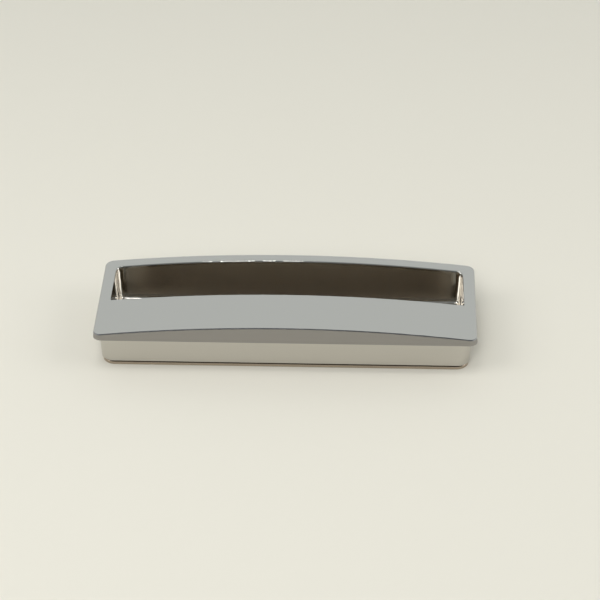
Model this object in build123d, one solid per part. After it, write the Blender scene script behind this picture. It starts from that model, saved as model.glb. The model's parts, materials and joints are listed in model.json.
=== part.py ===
"""Recessed pull handle: an arched, die-cast face plate with a finger pocket, closed by a back plate.

Millimetres. +X runs along the handle, -Y is the side of the canopy that the fingers hook under, and
+Z points out of the furniture panel. The origin is the centre of the back plate's outer face.
"""

import os
from math import radians, tan

from build123d import *

# --- Face plate -----------------------------------------------------------------------------------
SCREW_CENTRES = 96.0        # standard spacing of the two fixing screws
PLATE_BEYOND_SCREW = 7.0    # from a screw's axis to the end of the face plate
PLATE_WIDTH = 40.0
PLATE_CORNER_R = 2.5
RIM_EDGE = 1.7              # thickness of the rim at the two ends of the arch
CROWN_RISE = 3.2            # how far the middle of the arch stands above its ends
RIM_DRAFT = 3.0             # degrees, on the rim's edge
RIM_EDGE_R = 0.4            # rounding between the arched face and the rim's edge

# --- Pocket wall ----------------------------------------------------------------------------------
RIM_OVERHANG = 1.3          # how far the rim stands out over the wall
CUP_DEPTH = 9.7             # from the rim's underside to the back plate's outer face
WALL_DRAFT = 4.0            # degrees, on the outside of the wall
WALL_CORNER_R = 3.8         # at the wall's foot

# --- Finger pocket --------------------------------------------------------------------------------
END_MARGIN = 3.6            # face left between the pocket and each end of the plate
BACK_MARGIN = 4.1           # face left behind the pocket
OPENING_WIDTH = 17.7        # from the back of the pocket to the canopy's lip
FRONT_WALL = 2.4            # wall under the canopy, at its top
POCKET_DRAFT = 3.0          # degrees
POCKET_CORNER_R = 1.6       # upright corners, at the pocket's foot
OPENING_EDGE_R = 0.4        # rounding of the arched face into the opening
CANOPY_THICKNESS = 2.2
LIP_UNDERSIDE_R = 0.8       # rounding under the canopy's lip

# --- Fixing bosses --------------------------------------------------------------------------------
SCREW_FROM_FRONT = 8.0      # from the face plate's front edge to the line of the screws
SCREW_R = 2.0               # M4 thread, at its outer diameter
SCREW_DEPTH = 8.0
BOSS_WALL = 2.4             # metal round the thread

# --- Back plate -----------------------------------------------------------------------------------
BACK_PLATE_THICKNESS = 1.1
BACK_PLATE_STEP = 0.3       # how far the plate's edge stands back from the wall's foot
BACK_PLATE_EDGE_R = 0.25
JOINT_GAP = 0.45            # height of the shadow gap between wall and plate
JOINT_DEPTH = 0.7           # depth of that gap, measured in from the wall's foot
TRAY_HEIGHT = 1.4           # how far the tray's rim stands into the pocket
TRAY_FLOOR = 0.5            # how far its floor stands above the plate
TRAY_LAND = 0.35            # width of the tray's flat rim
TRAY_COVE_R = 0.8           # hollow between the tray's rim and its floor
TRAY_CORNER_R = 1.0         # upright corners of the tray beside the bosses
TRAY_CLEARANCE = 0.05       # between the tray and the pocket's walls
BOSS_CLEARANCE = 0.2        # between the tray and the bosses
SCREW_CLEARANCE = 0.25      # between each screw and its hole in the plate

STANDING = (Align.CENTER, Align.CENTER, Align.MIN)
NEAR = 0.01                 # an edge or corner this close to a plane counts as lying in it
CUTTER_REACH = 2.0          # how far a cutter runs on past what it cuts

# --- Levels and outlines that follow --------------------------------------------------------------
PLATE_LENGTH = SCREW_CENTRES + 2 * PLATE_BEYOND_SCREW
FOOT_Z = BACK_PLATE_THICKNESS
WALL_FOOT_Z = FOOT_Z + JOINT_GAP
RIM_Z = CUP_DEPTH
ARCH_END_Z = RIM_Z + RIM_EDGE
CROWN_Z = ARCH_END_Z + CROWN_RISE
ABOVE_CROWN_Z = CROWN_Z + CUTTER_REACH

WALL_FOOT_INSET = RIM_OVERHANG + (RIM_Z - WALL_FOOT_Z) * tan(radians(WALL_DRAFT))
POCKET_INSET = (ARCH_END_Z - FOOT_Z) * tan(radians(POCKET_DRAFT))
BACK_PLATE_INSET = WALL_FOOT_INSET + BACK_PLATE_STEP

LIP_Y = PLATE_WIDTH / 2 - BACK_MARGIN - OPENING_WIDTH
POCKET_END_X = PLATE_LENGTH / 2 - END_MARGIN - POCKET_INSET
POCKET_BACK_Y = PLATE_WIDTH / 2 - BACK_MARGIN - POCKET_INSET
POCKET_FRONT_Y = RIM_OVERHANG + FRONT_WALL - PLATE_WIDTH / 2 + POCKET_INSET
SCREW_Y = SCREW_FROM_FRONT - PLATE_WIDTH / 2
BOSS_R = SCREW_R + BOSS_WALL


def plate_outline(inset: float, corner_r: float) -> Sketch:
    """Outline concentric with the face plate, stepped in by inset."""
    return RectangleRounded(PLATE_LENGTH - 2 * inset, PLATE_WIDTH - 2 * inset, corner_r)


def pocket_outline(clearance: float = 0.0) -> Sketch:
    """Outline of the finger pocket at the wall's foot, stepped in by clearance."""
    length = 2 * (POCKET_END_X - clearance)
    width = POCKET_BACK_Y - POCKET_FRONT_Y - 2 * clearance
    centre_y = (POCKET_BACK_Y + POCKET_FRONT_Y) / 2
    return Pos(0, centre_y) * RectangleRounded(length, width, POCKET_CORNER_R - clearance)


def boss_outline(clearance: float = 0.0) -> Sketch:
    """Both fixing bosses in plan: corner pads out to the walls, rounded about the screw inside."""
    reach = BOSS_R + clearance
    bosses = Sketch()
    for side in (-1, 1):
        to_end = Pos(side * PLATE_BEYOND_SCREW / 2, 0) * Rectangle(PLATE_BEYOND_SCREW, 2 * reach)
        to_front = Pos(0, -SCREW_FROM_FRONT / 2) * Rectangle(2 * reach, SCREW_FROM_FRONT)
        bosses += Pos(side * SCREW_CENTRES / 2, SCREW_Y) * (Circle(reach) + to_end + to_front)
    return bosses


def screw_axes() -> list[Location]:
    """Where the two fixing screws run, at the level of the back plate's outer face."""
    return [Pos(side * SCREW_CENTRES / 2, SCREW_Y) for side in (-1, 1)]


def under_arch(drop: float) -> Part:
    """Everything below the arched face, or below a surface that runs parallel to it by drop."""
    half = PLATE_LENGTH / 2
    arch = ThreePointArc((-half, ARCH_END_Z), (0, CROWN_Z), (half, ARCH_END_Z))
    sides = Polyline((half, ARCH_END_Z), (half, -ABOVE_CROWN_Z), (-half, -ABOVE_CROWN_Z), (-half, ARCH_END_Z))
    section = Plane.XZ * make_face(arch + sides)
    block = extrude(section, PLATE_WIDTH / 2, both=True)
    return Pos(0, 0, -drop) * block


def face_plate() -> Part:
    """The rim: a drafted slab cut to the arch, with its upper edge rounded."""
    slab = extrude(Pos(0, 0, RIM_Z) * plate_outline(0, PLATE_CORNER_R), CROWN_Z - RIM_Z, taper=RIM_DRAFT)
    slab &= under_arch(0)
    upper_edges = [e for e in slab.edges() if e.center().Z > RIM_Z + RIM_EDGE / 2 and not is_upright(e)]
    return fillet(upper_edges, RIM_EDGE_R)


def is_upright(edge: Edge) -> bool:
    """Whether an edge climbs more than it runs."""
    run = edge.end_point() - edge.start_point()
    return abs(run.Z) > max(abs(run.X), abs(run.Y))


def pocket_wall() -> Part:
    """The solid block that the pocket is sunk in, narrowing to its foot, with the joint's rebate."""
    foot = Pos(0, 0, WALL_FOOT_Z) * plate_outline(WALL_FOOT_INSET, WALL_CORNER_R)
    wall = extrude(foot, RIM_Z - WALL_FOOT_Z, taper=-WALL_DRAFT)
    land = Pos(0, 0, FOOT_Z) * plate_outline(WALL_FOOT_INSET + JOINT_DEPTH, WALL_CORNER_R - JOINT_DEPTH)
    return wall + extrude(land, JOINT_GAP)


def pocket_space() -> Part:
    """The hollow for the fingers: open to the face behind the lip, roofed by the canopy before it."""
    foot = Pos(0, 0, FOOT_Z) * pocket_outline()
    shaft = extrude(foot, ABOVE_CROWN_Z - FOOT_Z, taper=-POCKET_DRAFT)
    behind_lip = Pos(0, LIP_Y, 0) * Box(
        2 * PLATE_LENGTH, PLATE_WIDTH, 2 * ABOVE_CROWN_Z, align=(Align.CENTER, Align.MIN, Align.CENTER)
    )
    return (shaft & under_arch(CANOPY_THICKNESS)) + (shaft & behind_lip)


def round_opening(body: Part) -> Part:
    """Round the opening's edge all round, then the underside of the lip, where the fingers pull."""
    arched_face = next(f for f in body.faces().filter_by(GeomType.CYLINDER) if f.inner_wires())
    body = fillet(arched_face.inner_wires()[0].edges(), OPENING_EDGE_R)
    lip_arcs = body.edges().filter_by_position(Axis.Y, LIP_Y - NEAR, LIP_Y + NEAR).filter_by(GeomType.CIRCLE)
    return fillet(lip_arcs.sort_by(Axis.Z)[0], LIP_UNDERSIDE_R)


def fixing_bosses() -> Part:
    """Two posts from the canopy down to the back plate, sunk in the pocket's front corners."""
    posts = extrude(Pos(0, 0, FOOT_Z) * boss_outline(), CROWN_Z) & under_arch(CANOPY_THICKNESS / 2)
    return posts & extrude(plate_outline(WALL_FOOT_INSET + JOINT_DEPTH, WALL_CORNER_R), CROWN_Z)


def pull_body() -> Part:
    """The casting: face plate, canopy, pocket walls and fixing bosses."""
    body = round_opening(face_plate() + pocket_wall() - pocket_space()) + fixing_bosses()
    for axis in screw_axes():
        body -= axis * Pos(0, 0, FOOT_Z) * Cylinder(SCREW_R, SCREW_DEPTH, align=STANDING)
    return body


def tray_outline() -> Sketch:
    """The tray in plan: the pocket's outline, notched round the bosses, with its new corners rounded."""
    plan = pocket_outline(TRAY_CLEARANCE) - boss_outline(BOSS_CLEARANCE)
    beside_boss = [v for v in plan.vertices() if is_beside_boss(v)]
    return fillet(beside_boss, TRAY_CORNER_R)


def is_beside_boss(corner: Vertex) -> bool:
    """Whether a corner of the tray lies where a boss meets the pocket's wall."""
    on_end = abs(abs(corner.X) - (POCKET_END_X - TRAY_CLEARANCE)) < NEAR and corner.Y < 0
    on_front = abs(corner.Y - (POCKET_FRONT_Y + TRAY_CLEARANCE)) < NEAR
    return on_end or on_front


def back_plate() -> Part:
    """The closing plate, with the dished tray that is the pocket's floor."""
    plate = extrude(plate_outline(BACK_PLATE_INSET, WALL_CORNER_R), BACK_PLATE_THICKNESS)
    plate = fillet(plate.edges().filter_by(Plane.XY), BACK_PLATE_EDGE_R)
    plan = tray_outline()
    tray = extrude(Pos(0, 0, FOOT_Z) * plan, TRAY_HEIGHT)
    dish = extrude(Pos(0, 0, FOOT_Z + TRAY_FLOOR) * offset(plan, -TRAY_LAND), TRAY_HEIGHT)
    dish = fillet(dish.faces().sort_by(Axis.Z)[0].edges(), TRAY_COVE_R)
    plate += tray - dish
    for axis in screw_axes():
        plate -= axis * Cylinder(SCREW_R + SCREW_CLEARANCE, 2 * (BACK_PLATE_THICKNESS + CUTTER_REACH))
    return plate


os.makedirs("parts", exist_ok=True)
export_step(pull_body(), "parts/pull_body.step")
export_step(back_plate(), "parts/back_plate.step")
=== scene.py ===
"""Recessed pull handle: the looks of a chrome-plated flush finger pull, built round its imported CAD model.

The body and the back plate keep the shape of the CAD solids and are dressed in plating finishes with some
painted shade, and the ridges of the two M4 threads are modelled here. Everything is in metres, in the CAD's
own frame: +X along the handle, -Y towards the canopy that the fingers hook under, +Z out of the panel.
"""

import json
import logging
import math
from dataclasses import dataclass
from enum import Enum

import bpy
from mathutils import Matrix, Vector


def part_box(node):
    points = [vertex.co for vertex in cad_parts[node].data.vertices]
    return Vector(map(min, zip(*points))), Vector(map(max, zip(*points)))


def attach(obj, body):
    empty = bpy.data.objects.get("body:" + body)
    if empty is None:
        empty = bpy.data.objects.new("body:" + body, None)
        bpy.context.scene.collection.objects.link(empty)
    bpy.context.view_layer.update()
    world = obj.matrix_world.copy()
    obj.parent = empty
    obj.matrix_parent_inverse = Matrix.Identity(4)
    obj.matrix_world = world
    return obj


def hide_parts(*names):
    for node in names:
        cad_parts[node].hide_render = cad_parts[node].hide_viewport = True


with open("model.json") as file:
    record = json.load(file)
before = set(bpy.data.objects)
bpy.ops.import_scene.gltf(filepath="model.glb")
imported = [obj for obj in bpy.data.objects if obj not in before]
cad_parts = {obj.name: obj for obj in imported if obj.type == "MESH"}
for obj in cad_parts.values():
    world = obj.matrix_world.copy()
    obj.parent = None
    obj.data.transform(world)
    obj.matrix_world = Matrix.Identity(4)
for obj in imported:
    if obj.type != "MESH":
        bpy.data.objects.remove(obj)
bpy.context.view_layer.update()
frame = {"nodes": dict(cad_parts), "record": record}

MM = 0.001
WAVE_REPEAT = math.tau / 20  # length over which a wave texture of scale 1 repeats
HALF_TURN = 180.0
log = logging.getLogger("recessed_pull")

Source = bpy.types.NodeSocket | float | tuple


class Slot(Enum):
    """The colour slots of the record that a piece can follow."""

    BODY = "body_chrome"
    PLATE = "plate_chrome"


# --- Colours and nodes ----------------------------------------------------------------------------
def linear(hex_colour: str) -> tuple[float, float, float, float]:
    """Turn an sRGB hex colour into the linear colour that shaders work in.

    Args:
        hex_colour: Six hex digits.

    Returns:
        Linear red, green and blue, with an alpha of 1.
    """
    channels = [int(hex_colour[i:i + 2], 16) / 255 for i in (0, 2, 4)]
    red, green, blue = (c / 12.92 if c <= 0.04045 else ((c + 0.055) / 1.055) ** 2.4 for c in channels)
    return red, green, blue, 1.0


def add_node(tree: bpy.types.NodeTree, kind: str, inputs: dict[str | int, Source] | None = None,
             **settings: object) -> bpy.types.Node:
    """Add one node with its settings, and link or set its inputs.

    Args:
        tree: The node tree to add to.
        kind: The node's type, without its "ShaderNode" prefix.
        inputs: Input, by name or place, to the socket that feeds it or to its constant.
        **settings: Properties of the node itself.

    Returns:
        The new node.
    """
    node = tree.nodes.new("ShaderNode" + kind)
    for name, value in settings.items():
        setattr(node, name, value)
    for name, source in (inputs or {}).items():
        if isinstance(source, bpy.types.NodeSocket):
            tree.links.new(source, node.inputs[name])
        else:
            node.inputs[name].default_value = source
    return node


def new_material(name: str) -> tuple[bpy.types.Material, bpy.types.NodeTree]:
    """Start a material with an empty node tree.

    Args:
        name: The material's name.

    Returns:
        The material and its node tree.
    """
    material = bpy.data.materials.new(name)
    material.use_nodes = True
    material.node_tree.nodes.clear()
    return material, material.node_tree


# --- Sizes read from the frame --------------------------------------------------------------------
@dataclass(frozen=True)
class Pull:
    """The sizes of the handle that its finishes and the camera are placed by, in metres."""

    half_length: float
    half_width: float
    crown_z: float
    rim_z: float
    foot_z: float
    # How far the arch rises to its middle, and the face left beside and behind the pocket.
    crown_rise: float = 3.2 * MM
    end_margin: float = 3.6 * MM
    back_margin: float = 4.1 * MM
    rim_band: float = 2.5 * MM
    joint_height: float = 0.5 * MM

    @classmethod
    def from_frame(cls) -> "Pull":
        """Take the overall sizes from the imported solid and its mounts.

        Returns:
            The sizes.
        """
        low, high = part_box("pull_body")
        mounts = {mount["name"]: mount for mount in frame["record"]["mounts"]}
        return cls(half_length=high.x, half_width=high.y, crown_z=high.z,
                   rim_z=mounts["rim_seat"]["pos_m"][2], foot_z=low.z)

    @property
    def arch_radius(self) -> float:
        """Radius of the arched face along the handle."""
        return (self.half_length ** 2 + self.crown_rise ** 2) / (2 * self.crown_rise)


# --- Finishes -------------------------------------------------------------------------------------
@dataclass(frozen=True)
class Place:
    """Where a point of the handle lies, as sockets: its distances from the middle, height and slope."""

    tree: bpy.types.NodeTree
    x: Source
    y: Source
    z: Source
    up: Source

    @classmethod
    def read(cls, tree: bpy.types.NodeTree) -> "Place":
        """Add the nodes that read the place.

        Args:
            tree: The material's node tree.

        Returns:
            The place, with x and y measured outwards to either side, and up as the normal's upward part.
        """
        where = add_node(tree, "TexCoord")
        axes = add_node(tree, "SeparateXYZ", {0: where.outputs["Object"]}).outputs
        facing = add_node(tree, "SeparateXYZ", {0: where.outputs["Normal"]}).outputs["Z"]
        x, y = (add_node(tree, "Math", {0: axes[n]}, operation="ABSOLUTE").outputs[0] for n in (0, 1))
        return cls(tree, x, y, axes[2], facing)

    def both(self, first: Source, second: Source) -> Source:
        """Give 1 where both masks are 1."""
        return add_node(self.tree, "Math", {0: first, 1: second}, operation="MULTIPLY").outputs[0]

    def ramp(self, value: Source, start: float, full: float) -> Source:
        """Give 0 at the start and 1 at the full value, with a smooth step between them."""
        return add_node(self.tree, "MapRange", {"Value": value, "From Min": start, "From Max": full},
                        interpolation_type="SMOOTHSTEP").outputs["Result"]

    def inside(self, half_length: float, half_width: float) -> Source:
        """Give 1 within a rectangle about the middle, seen from above.

        Args:
            half_length: Half the rectangle's length along the handle.
            half_width: Half its width.

        Returns:
            The mask.
        """
        along = add_node(self.tree, "Math", {0: self.x, 1: half_length}, operation="LESS_THAN").outputs[0]
        across = add_node(self.tree, "Math", {0: self.y, 1: half_width}, operation="LESS_THAN").outputs[0]
        return self.both(along, across)

    def height_under_arch(self, arch_radius: float) -> Source:
        """Give the height with the arch taken out, so that the whole face is at the crown's height.

        Args:
            arch_radius: Radius of the arched face along the handle.

        Returns:
            The height.
        """
        square = self.both(self.x, self.x)
        return add_node(self.tree, "Math", {0: square, 1: 0.5 / arch_radius, 2: self.z},
                        operation="MULTIPLY_ADD").outputs[0]


@dataclass(frozen=True)
class BrightChrome:
    """Decorative chrome over nickel on buffed die-cast zinc."""

    name: str = "bright_chrome_on_buffed_zinc"
    chrome: str = "C7C4BE"
    nickel: str = "D5CBBD"
    # The rim edge's grey is partly the satin plating and partly painted shade, darker than the plating alone.
    satin_grey_and_painted_shade: str = "A6A3A0"
    # The rim's rounded corner is painted this darker grey as painted shade.
    fillet_painted_shade: str = "66686C"
    # The crevice over the foot is painted this dark brown as painted shade.
    joint_painted_shade: str = "52473C"
    polished: float = 0.045
    unbuffed: float = 0.26
    satin: float = 0.5
    wave: float = 7 * MM
    wave_height: float = 0.0008 * MM
    edge_blend: float = 0.02 * MM
    # The rim's zones start and are full at these upward parts of the normal.
    corner_slope: tuple[float, float] = (0.985, 0.93)
    edge_slope: tuple[float, float] = (0.6, 0.4)
    # The pocket's zone starts and is full at these depths under the face and distances from its ends.
    pocket_depth: tuple[float, float] = (0.3 * MM, 1.0 * MM)
    pocket_end: tuple[float, float] = (1.5 * MM, 4.0 * MM)
    pocket_reach: float = 0.5 * MM

    def build(self, pull: Pull) -> bpy.types.Material:
        """Make the material, with each zone of the finish placed by the handle's sizes.

        Args:
            pull: Sizes of the handle.

        Returns:
            The new material.
        """
        # A near-perfect mirror on the face. The rim's edge is out of the buffing wheel's reach and stays
        # satin, with painted shade darkening its grey, and painted shade darker still on its rounded corner.
        # In the pocket the chrome is thin, so that the warm nickel shows through it, and the crevice of the
        # joint at the foot is painted dark brown as painted shade.
        material, tree = new_material(self.name)
        place = Place.read(tree)
        pocket, joint = self.pocket(place, pull), self.joint(place, pull)
        corner = place.both(self.rim_zone(place, pull, self.corner_slope),
                            place.ramp(place.y, pull.half_width - pull.rim_band, pull.half_width))
        edge = self.rim_zone(place, pull, self.edge_slope)
        colour, roughness = linear(self.chrome), self.polished
        for zone, tone, grade in ((pocket, self.nickel, self.unbuffed), (corner, self.fillet_painted_shade, self.satin),
                                  (edge, self.satin_grey_and_painted_shade, self.satin), (joint, self.joint_painted_shade, self.satin)):
            colour = add_node(tree, "Mix", {"Factor": zone, "A": colour, "B": linear(tone)},
                              data_type="RGBA").outputs["Result"]
            roughness = add_node(tree, "MapRange", {"Value": zone, "To Min": roughness,
                                                    "To Max": grade}).outputs["Result"]
        # The buffing wheel leaves low waves about 7 mm long, which bend the reflections a little.
        where = add_node(tree, "TexCoord").outputs["Object"]
        wave = add_node(tree, "TexNoise", {"Vector": where, "Scale": 1 / self.wave, "Detail": 1.0})
        bump = add_node(tree, "Bump", {"Height": wave.outputs["Fac"], "Distance": self.wave_height})
        metal = add_node(tree, "BsdfPrincipled", {
            "Base Color": colour, "Metallic": 1.0, "Roughness": roughness, "Normal": bump.outputs["Normal"]})
        add_node(tree, "OutputMaterial", {"Surface": metal.outputs["BSDF"]})
        return material

    def pocket(self, place: Place, pull: Pull) -> Source:
        """Give 1 on the pocket's long walls and under the canopy, and 0 on the face, the ends and outside.

        Args:
            place: Where the point lies.
            pull: Sizes of the handle.

        Returns:
            The mask.
        """
        start, full = (pull.crown_z - depth for depth in self.pocket_depth)
        below = place.ramp(place.height_under_arch(pull.arch_radius), start, full)
        across = place.inside(pull.half_length, pull.half_width - pull.back_margin + self.pocket_reach)
        start, full = (pull.half_length - pull.end_margin - distance for distance in self.pocket_end)
        return place.both(place.both(below, across), place.ramp(place.x, start, full))

    def rim_zone(self, place: Place, pull: Pull, slope: tuple[float, float]) -> Source:
        """Give 1 round the outside of the rim where the surface is steep, and 0 elsewhere.

        Args:
            place: Where the point lies.
            pull: Sizes of the handle.
            slope: Upward parts of the normal at which the zone starts and is full.

        Returns:
            The mask.
        """
        steep = place.ramp(place.up, *slope)
        above = place.ramp(place.z, pull.rim_z - self.edge_blend, pull.rim_z)
        middle = place.inside(pull.half_length - pull.rim_band, pull.half_width - pull.rim_band)
        outside = add_node(place.tree, "Math", {0: 1.0, 1: middle}, operation="SUBTRACT").outputs[0]
        return place.both(place.both(steep, above), outside)

    def joint(self, place: Place, pull: Pull) -> Source:
        """Give 1 in the crevice over the foot, where the back plate meets the casting."""
        top = pull.foot_z + pull.joint_height
        return place.ramp(place.z, top, top - self.edge_blend)


@dataclass(frozen=True)
class DullNickel:
    """Nickel flash on a stamped steel plate."""

    name: str = "dull_nickel_on_stamped_plate"
    tray: str = "C8C4BC"
    # The flange's darker brown is painted shade.
    flange_painted_shade: str = "B7AA9A"
    edge_blend: float = 0.02 * MM
    roughness: float = 0.12
    grain: float = 0.8 * MM
    grain_height: float = 0.0002 * MM

    def build(self, pull: Pull) -> bpy.types.Material:
        """Make the material.

        Args:
            pull: Sizes of the handle.

        Returns:
            The new material.
        """
        # A thin, unbuffed nickel coat: warmer than the chrome and with a softer mirror. The flange and its
        # sheared edge are painted a darker brown than the raised tray, as painted shade.
        material, tree = new_material(self.name)
        where = add_node(tree, "TexCoord").outputs["Object"]
        place = Place.read(tree)
        raised = place.ramp(place.z, pull.foot_z, pull.foot_z + self.edge_blend)
        colour = add_node(tree, "Mix", {"Factor": raised, "A": linear(self.flange_painted_shade), "B": linear(self.tray)},
                          data_type="RGBA").outputs["Result"]
        # The rolled sheet's grain is under 0.1 mm, and is drawn 0.8 mm coarse so that it shows.
        grain = add_node(tree, "TexNoise", {"Vector": where, "Scale": 1 / self.grain})
        bump = add_node(tree, "Bump", {"Height": grain.outputs["Fac"], "Distance": self.grain_height})
        metal = add_node(tree, "BsdfPrincipled", {
            "Base Color": colour, "Metallic": 1.0, "Roughness": self.roughness,
            "Normal": bump.outputs["Normal"]})
        add_node(tree, "OutputMaterial", {"Surface": metal.outputs["BSDF"]})
        return material


@dataclass(frozen=True)
class CutZinc:
    """Bare die-cast zinc, laid open by the tap."""

    name: str = "bare_zinc_cut_by_tap"
    zinc: str = "A9A8A4"
    roughness: float = 0.34
    mark: float = 0.1 * MM
    mark_height: float = 0.002 * MM
    wander: float = 1.5

    def build(self) -> bpy.types.Material:
        """Make the material.

        Returns:
            The new material.
        """
        # Cut zinc alloy is a plain grey with a dull shine, scored every 0.1 mm by the tap.
        material, tree = new_material(self.name)
        where = add_node(tree, "TexCoord").outputs["Object"]
        marks = add_node(tree, "TexWave", {"Vector": where, "Scale": WAVE_REPEAT / self.mark,
                                           "Distortion": self.wander}, bands_direction="Z")
        bump = add_node(tree, "Bump", {"Height": marks.outputs["Fac"], "Distance": self.mark_height})
        metal = add_node(tree, "BsdfPrincipled", {
            "Base Color": linear(self.zinc), "Metallic": 1.0, "Roughness": self.roughness,
            "Normal": bump.outputs["Normal"]})
        add_node(tree, "OutputMaterial", {"Surface": metal.outputs["BSDF"]})
        return material


# --- Pieces ---------------------------------------------------------------------------------------
@dataclass(frozen=True)
class SolidPiece:
    """A piece with the CAD solid's own shape, as one joined skin whose fillets shade evenly."""

    node: str
    name: str
    slot: Slot
    weld: float = 0.001 * MM
    crease: float = math.radians(25)

    def build(self) -> bpy.types.Object:
        """Copy the solid and join its loose triangles, with no vertex moved.

        Returns:
            The copy, riding on the handle's one body and standing for the solid.
        """
        bpy.ops.object.select_all(action="DESELECT")
        piece = bpy.data.objects.new(self.name, frame["nodes"][self.node].data.copy())
        bpy.context.scene.collection.objects.link(piece)
        bpy.context.view_layer.objects.active = piece
        piece.select_set(True)
        bpy.ops.mesh.customdata_custom_splitnormals_clear()
        bpy.ops.object.mode_set(mode="EDIT")
        bpy.ops.mesh.select_all(action="SELECT")
        bpy.ops.mesh.remove_doubles(threshold=self.weld)
        bpy.ops.object.mode_set(mode="OBJECT")
        bpy.ops.object.shade_smooth_by_angle(angle=self.crease)
        flats = piece.modifiers.new("even_flats", "WEIGHTED_NORMAL")
        flats.keep_sharp = True
        bpy.ops.object.modifier_apply(modifier=flats.name)
        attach(piece, "root")
        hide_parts(self.node)
        return piece

    def dress(self, piece: bpy.types.Object, finish: bpy.types.Material) -> None:
        """Give the piece its finish all over."""
        piece.data.materials.clear()
        piece.data.materials.append(finish)


@dataclass(frozen=True)
class PullBody(SolidPiece):
    """The casting: arched face, canopy, rim, pocket walls and the two fixing bosses."""

    node: str = "pull_body"
    name: str = "chromed_body"
    slot: Slot = Slot.BODY


@dataclass(frozen=True)
class BackPlate(SolidPiece):
    """The stamped plate that closes the pocket from behind, with its raised tray."""

    node: str = "back_plate"
    name: str = "nickelled_back_plate"
    slot: Slot = Slot.PLATE


@dataclass(frozen=True)
class ScrewThreads:
    """The ridges of the M4 threads that the fixing screws turn into, one in each boss."""

    pitch: float = 0.7 * MM
    ridge: float = 0.35 * MM
    root_width: float = 0.6 * MM
    crest_width: float = 0.12 * MM
    bite: float = 0.03 * MM
    weld: float = 0.001 * MM
    crease: float = math.radians(30)
    steps: int = 40
    section_corners: int = 4

    def build(self) -> list[bpy.types.Object]:
        """Wind one ridge and copy it into each tapped hole.

        Returns:
            The ridges, one for each hole.
        """
        holes = [mount for mount in frame["record"]["mounts"] if mount["kind"] == "threaded_hole"]
        ridges = []
        for hole in holes:
            if not ridges:
                ridge = self.wind(hole["dims"]["r_mm"] * MM, hole["dims"]["length_mm"] * MM)
                plain = ridge.data.copy()
            else:
                ridge = bpy.data.objects.new("ridge", plain.copy())
                bpy.context.scene.collection.objects.link(ridge)
            ridge.name = hole["name"] + "_ridge"
            foot = Vector(hole["pos_m"]) - Vector((0, 0, hole["dims"]["length_mm"] * MM / 2))
            ridge.data.transform(Matrix.Translation(foot))
            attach(ridge, "root")
            ridges.append(ridge)
        bpy.data.meshes.remove(plain)
        return ridges

    def wind(self, radius: float, length: float) -> bpy.types.Object:
        """Make one ridge from the origin upwards: a blunt V wound up a helix, closed at both ends.

        Args:
            radius: Outer radius of the thread.
            length: Length of the tapped hole.

        Returns:
            The ridge.
        """
        depth = self.ridge + self.bite
        bpy.ops.object.select_all(action="DESELECT")
        bpy.ops.mesh.primitive_plane_add(size=1, rotation=(math.pi / 2, 0, 0))
        bpy.ops.object.transform_apply(location=False, rotation=True, scale=False)
        ridge = bpy.context.object
        bpy.ops.object.mode_set(mode="EDIT")
        bpy.ops.transform.resize(value=(depth, 1, self.root_width), center_override=(0, 0, 0))
        self.select_crest(ridge)
        bpy.ops.transform.resize(value=(1, 1, self.crest_width / self.root_width), center_override=(0, 0, 0))
        bpy.ops.mesh.select_all(action="SELECT")
        bpy.ops.transform.translate(value=(radius + self.bite - depth / 2, 0, self.root_width / 2))
        bpy.ops.object.mode_set(mode="OBJECT")
        helix = ridge.modifiers.new("helix", "SCREW")
        helix.axis = "Z"
        helix.angle = math.tau
        helix.screw_offset = self.pitch
        helix.iterations = int((length - self.root_width) / self.pitch)
        helix.steps = helix.render_steps = self.steps
        bpy.ops.object.modifier_apply(modifier=helix.name)
        bpy.ops.object.mode_set(mode="EDIT")
        bpy.ops.mesh.select_all(action="SELECT")
        bpy.ops.mesh.remove_doubles(threshold=self.weld)
        bpy.ops.mesh.fill_holes(sides=self.section_corners)
        bpy.ops.mesh.normals_make_consistent(inside=False)
        bpy.ops.object.mode_set(mode="OBJECT")
        bpy.ops.object.shade_smooth_by_angle(angle=self.crease)
        return ridge

    def select_crest(self, ridge: bpy.types.Object) -> None:
        """Select the edge of the section that faces the hole's axis.

        Args:
            ridge: The section, in edit mode and centred on the origin.
        """
        bpy.ops.mesh.select_all(action="DESELECT")
        bpy.ops.object.mode_set(mode="OBJECT")
        for vertex in ridge.data.vertices:
            vertex.select = vertex.co.x < 0
        bpy.ops.object.mode_set(mode="EDIT")

    def dress(self, ridges: list[bpy.types.Object], finish: bpy.types.Material) -> None:
        """Give every ridge its finish."""
        for ridge in ridges:
            ridge.data.materials.append(finish)


# --- Studio ---------------------------------------------------------------------------------------
@dataclass(frozen=True)
class Camera:
    """A long lens that looks down on the handle from the canopy's side."""

    elevation: float = math.radians(33.24)
    azimuth: float = math.radians(2.216)
    roll: float = math.radians(-0.346)
    distance: float = 706.17 * MM
    lens: float = 145.15
    aim_right: float = 3.74 * MM
    aim_up: float = 1.408 * MM
    near: float = 50 * MM

    def place(self, pull: Pull) -> bpy.types.Object:
        """Add the camera and make it the scene's own.

        Args:
            pull: Sizes of the handle.

        Returns:
            The camera.
        """
        towards = Vector((math.sin(self.azimuth) * math.cos(self.elevation),
                          -math.cos(self.azimuth) * math.cos(self.elevation), math.sin(self.elevation)))
        right = Vector((math.cos(self.azimuth), math.sin(self.azimuth), 0))
        up = towards.cross(right)
        aim = Vector((0, 0, pull.rim_z)) + self.aim_right * right + self.aim_up * up
        right, up = (math.cos(self.roll) * right + math.sin(self.roll) * up,
                     math.cos(self.roll) * up - math.sin(self.roll) * right)
        bpy.ops.object.camera_add(location=aim + self.distance * towards)
        camera = bpy.context.object
        camera.name = "studio_camera"
        camera.rotation_euler = Matrix((right, up, towards)).transposed().to_euler()
        camera.data.lens = self.lens
        camera.data.clip_start = self.near
        bpy.context.scene.camera = camera
        return camera


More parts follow.
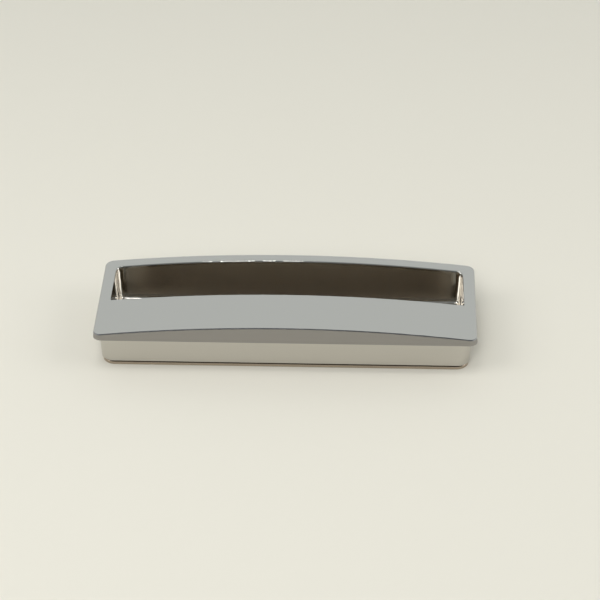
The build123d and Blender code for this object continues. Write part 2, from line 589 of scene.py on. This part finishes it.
@dataclass(frozen=True)
class SoftLamp:
    """A square soft light that faces the handle."""

    name: str
    place: tuple[float, float, float]
    size: float
    level: float
    in_metal: bool = True

    def hang(self) -> None:
        """Add the lamp, with its brightness given as the level that a mirror would show."""
        bpy.ops.object.light_add(type="AREA", location=self.place)
        lamp = bpy.context.object
        lamp.name = "studio_" + self.name
        lamp.data.shape = "SQUARE"
        lamp.data.size = self.size
        lamp.data.energy = self.level * math.pi * self.size ** 2
        lamp.visible_glossy = self.in_metal
        lamp.rotation_euler = (-Vector(self.place)).to_track_quat("-Z", "Y").to_euler()


@dataclass(frozen=True)
class Studio:
    """A pale table between soft lights, in a room that is pale behind and dark in front."""

    paper: str = "D9D5C9"
    paper_roughness: float = 0.9
    paper_shine: float = 0.1
    backdrop: str = "D9D7CA"
    table_size: float = 8.0
    table_drop: float = 0.02 * MM
    table_touch: float = 0.2 * MM
    light_bounces: int = 16
    mirror_bounces: int = 14
    room_tint: tuple[float, float, float] = (0.97, 1.03, 1.04)
    # Height over the far horizon in degrees, up over the zenith and down to the near one, and the level.
    room: tuple[tuple[float, float], ...] = ((0, 0.70), (30, 0.735), (45, 0.735), (62, 0.38), (90, 0.30),
                                             (120, 0.26), (150, 0.16), (180, 0.09))
    lamps: tuple[SoftLamp, ...] = (
        SoftLamp("softbox_left", (-0.56, -0.20, 0.50), 0.42, 3.5),
        SoftLamp("softbox_right", (0.64, -0.08, 0.42), 0.42, 2.9),
        SoftLamp("front_fill", (-0.3, -2.2, 1.8), 1.4, 7.0, in_metal=False),
        SoftLamp("ceiling_fill", (-0.10, -0.06, 0.45), 0.30, 0.65, in_metal=False),
        SoftLamp("small_overhead", (-0.095, 0.0, 1.0), 0.15, 10.0))

    def build(self) -> None:
        """Make the table, the room and the lamps."""
        self.lay_table()
        self.light_room()
        for lamp in self.lamps:
            lamp.hang()
        scene = bpy.context.scene
        scene.view_settings.view_transform = "Standard"
        scene.cycles.max_bounces = self.light_bounces
        scene.cycles.glossy_bounces = self.mirror_bounces

    def lay_table(self) -> None:
        """Lay the pale table under the handle, clear from below so that the underside can be looked at."""
        bpy.ops.object.select_all(action="DESELECT")
        # A hair below the back plate, so that the two flat faces don't fight where they would meet.
        bpy.ops.mesh.primitive_plane_add(size=self.table_size, location=(0, 0, -self.table_drop))
        table = bpy.context.object
        table.name = "studio_table"
        material, tree = new_material("matt_paper")
        sheet = add_node(tree, "BsdfPrincipled", {
            "Base Color": linear(self.paper), "Roughness": self.paper_roughness,
            "Specular IOR Level": self.paper_shine})
        below = add_node(tree, "NewGeometry").outputs["Backfacing"]
        clear = add_node(tree, "BsdfTransparent")
        # Light that has only crossed the hair's gap under the back plate goes through as well.
        near = add_node(tree, "Math", {0: add_node(tree, "LightPath").outputs["Ray Length"],
                                       1: self.table_touch}, operation="LESS_THAN").outputs[0]
        gone = add_node(tree, "Math", {0: below, 1: near}, operation="MAXIMUM").outputs[0]
        one_way = add_node(tree, "MixShader", {0: gone, 1: sheet.outputs[0], 2: clear.outputs[0]})
        add_node(tree, "OutputMaterial", {"Surface": one_way.outputs[0]})
        table.data.materials.append(material)

    def light_room(self) -> None:
        """Give the room its brightness by height, and let the camera see the plain backdrop."""
        world = bpy.data.worlds.new("studio_room")
        bpy.context.scene.world = world
        world.use_nodes = True
        tree = world.node_tree
        tree.nodes.clear()
        direction = add_node(tree, "TexCoord").outputs["Generated"]
        axes = add_node(tree, "SeparateXYZ", {0: direction})
        turn = add_node(tree, "Math", {0: axes.outputs["Z"], 1: axes.outputs["Y"]}, operation="ARCTAN2")
        share = add_node(tree, "Math", {0: turn.outputs[0], 1: math.pi}, operation="DIVIDE")
        ramp = add_node(tree, "ValToRGB", {0: share.outputs[0]})
        elements = ramp.color_ramp.elements
        for number, (degrees, level) in enumerate(self.room):
            # A new ramp already has two elements.
            element = elements[number] if number < 2 else elements.new(degrees / HALF_TURN)
            element.position = degrees / HALF_TURN
            element.color = (*(level * tint for tint in self.room_tint), 1)
        light = add_node(tree, "Background", {"Color": ramp.outputs["Color"]})
        seen = add_node(tree, "Background", {"Color": linear(self.backdrop)})
        paths = add_node(tree, "LightPath")
        mixed = add_node(tree, "MixShader", {0: paths.outputs["Is Camera Ray"], 1: light.outputs[0],
                                             2: seen.outputs[0]})
        add_node(tree, "OutputWorld", {"Surface": mixed.outputs[0]})


def main() -> None:
    """Light the studio, dress the solids and add the threads, in order."""
    logging.basicConfig(level=logging.INFO, format="%(name)s: %(message)s")
    pull = Pull.from_frame()
    Studio().build()
    Camera().place(pull)
    for maker, finish in ((PullBody(), BrightChrome().build(pull)), (BackPlate(), DullNickel().build(pull))):
        piece = maker.build()
        maker.dress(piece, finish)
        log.info("%s in %s: %d faces", piece.name, finish.name, len(piece.data.polygons))
    threads = ScrewThreads()
    ridges = threads.build()
    threads.dress(ridges, CutZinc().build())
    for ridge in ridges:
        log.info("%s: %d faces", ridge.name, len(ridge.data.polygons))


if __name__ == "__main__":
    main()
